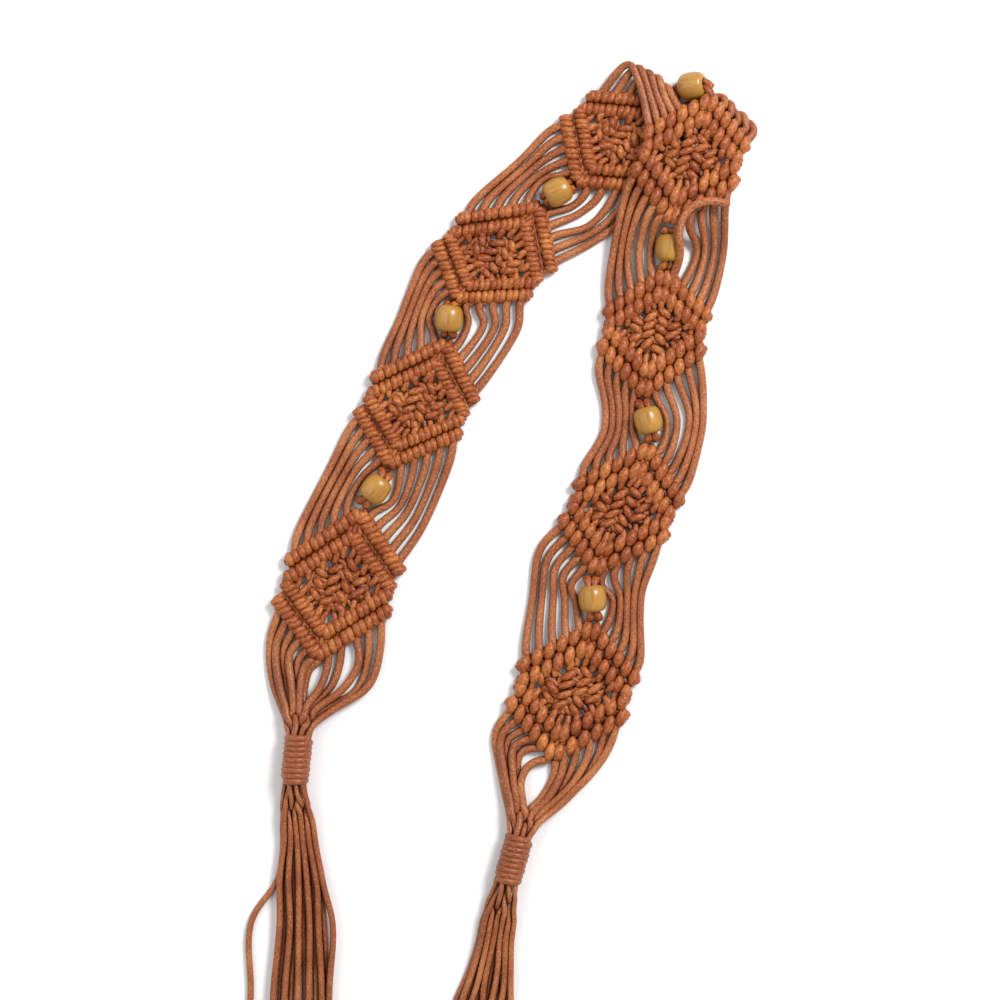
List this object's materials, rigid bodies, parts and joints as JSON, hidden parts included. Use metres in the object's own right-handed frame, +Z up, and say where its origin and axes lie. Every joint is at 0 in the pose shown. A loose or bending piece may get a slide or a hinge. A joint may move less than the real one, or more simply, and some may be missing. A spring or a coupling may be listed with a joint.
{
  "type": "knotted cord belt",
  "caption": "Knotted waxed-cord belt with open diamonds, wooden barrel beads, wrapped ends and tassels, laid flat and folded over at its top.",
  "frame": {"origin": "middle of the belt's footprint, on the surface that it lies on", "axes": "+Z up from the surface, -Y towards the two tassels, +X to the right in the picture"},
  "size_m": [0.224, 0.4776, 0.0139],
  "materials": {
    "knots": "waxed",
    "cord": "waxed",
    "bead": "varnished"
  },
  "bodies": {
    "root": {"diamond_a": "knots", "diamond_b": "knots", "diamond_c": "knots", "diamond_d": "knots", "diamond_e": "knots", "diamond_f": "knots", "diamond_g": "knots", "diamond_h": "knots", "side_cords_ab_left": "cord", "side_cords_ab_right": "cord", "side_cords_bc_left": "cord", "side_cords_bc_right": "cord", "side_cords_cd_left": "cord", "side_cords_cd_right": "cord", "side_cords_ef_left": "cord", "side_cords_ef_right": "cord", "side_cords_fg_left": "cord", "side_cords_fg_right": "cord", "side_cords_gh_left": "cord", "side_cords_gh_right": "cord", "fold_cords_left": "cord", "fold_cords_right": "cord", "bead_1": "bead", "centre_cords_1": "cord", "bead_2": "bead", "centre_cords_2": "cord", "bead_3": "bead", "centre_cords_3": "cord", "bead_4": "bead", "centre_cords_4": "cord", "bead_5": "bead", "centre_cords_5": "cord", "bead_6": "bead", "centre_cords_6": "cord", "bead_7": "bead", "centre_cords_7": "cord", "gather_1": "cord", "wrap_1": "cord", "tassel_1": "cord", "gather_2": "cord", "wrap_2": "cord", "tassel_2": "cord"}
  },
  "joints": []
}
